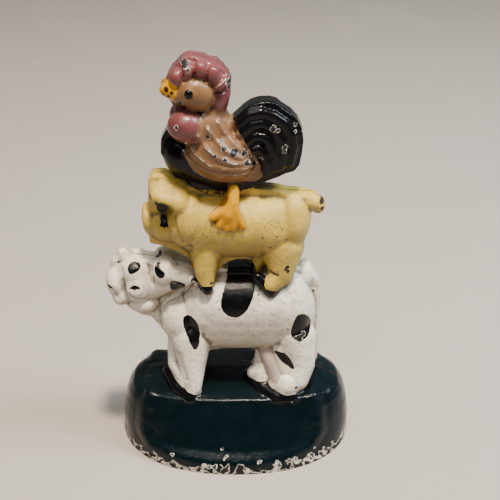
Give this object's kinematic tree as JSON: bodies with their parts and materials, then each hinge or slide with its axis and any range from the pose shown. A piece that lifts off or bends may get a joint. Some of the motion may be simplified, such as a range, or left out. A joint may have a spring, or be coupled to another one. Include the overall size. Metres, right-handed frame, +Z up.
{
  "type": "figural doorstop",
  "caption": "Painted cast-iron doorstop: a rooster on a pig on a cow on an oval mound base, two hollow half castings screwed together from the back.",
  "frame": {"origin": "centre of the bounding box on the plane the base stands on", "axes": "+Z up through the stacked animals, -X the way the animals face, -Y towards the viewer's side (front casting), seam between the castings on Y = 0"},
  "size_m": [0.1367, 0.1002, 0.2246],
  "materials": {
    "front_paint": "hand-brushed gloss enamel over white primer on cast iron, chipped",
    "back_paint": "hand-brushed gloss enamel over white primer on cast iron, chipped",
    "screw_steel": "dull, darkened steel"
  },
  "bodies": {
    "root": {"front_casting": "front_paint", "back_casting": "back_paint", "upper_screw": "screw_steel", "middle_screw": "screw_steel", "lower_screw": "screw_steel"}
  },
  "joints": []
}
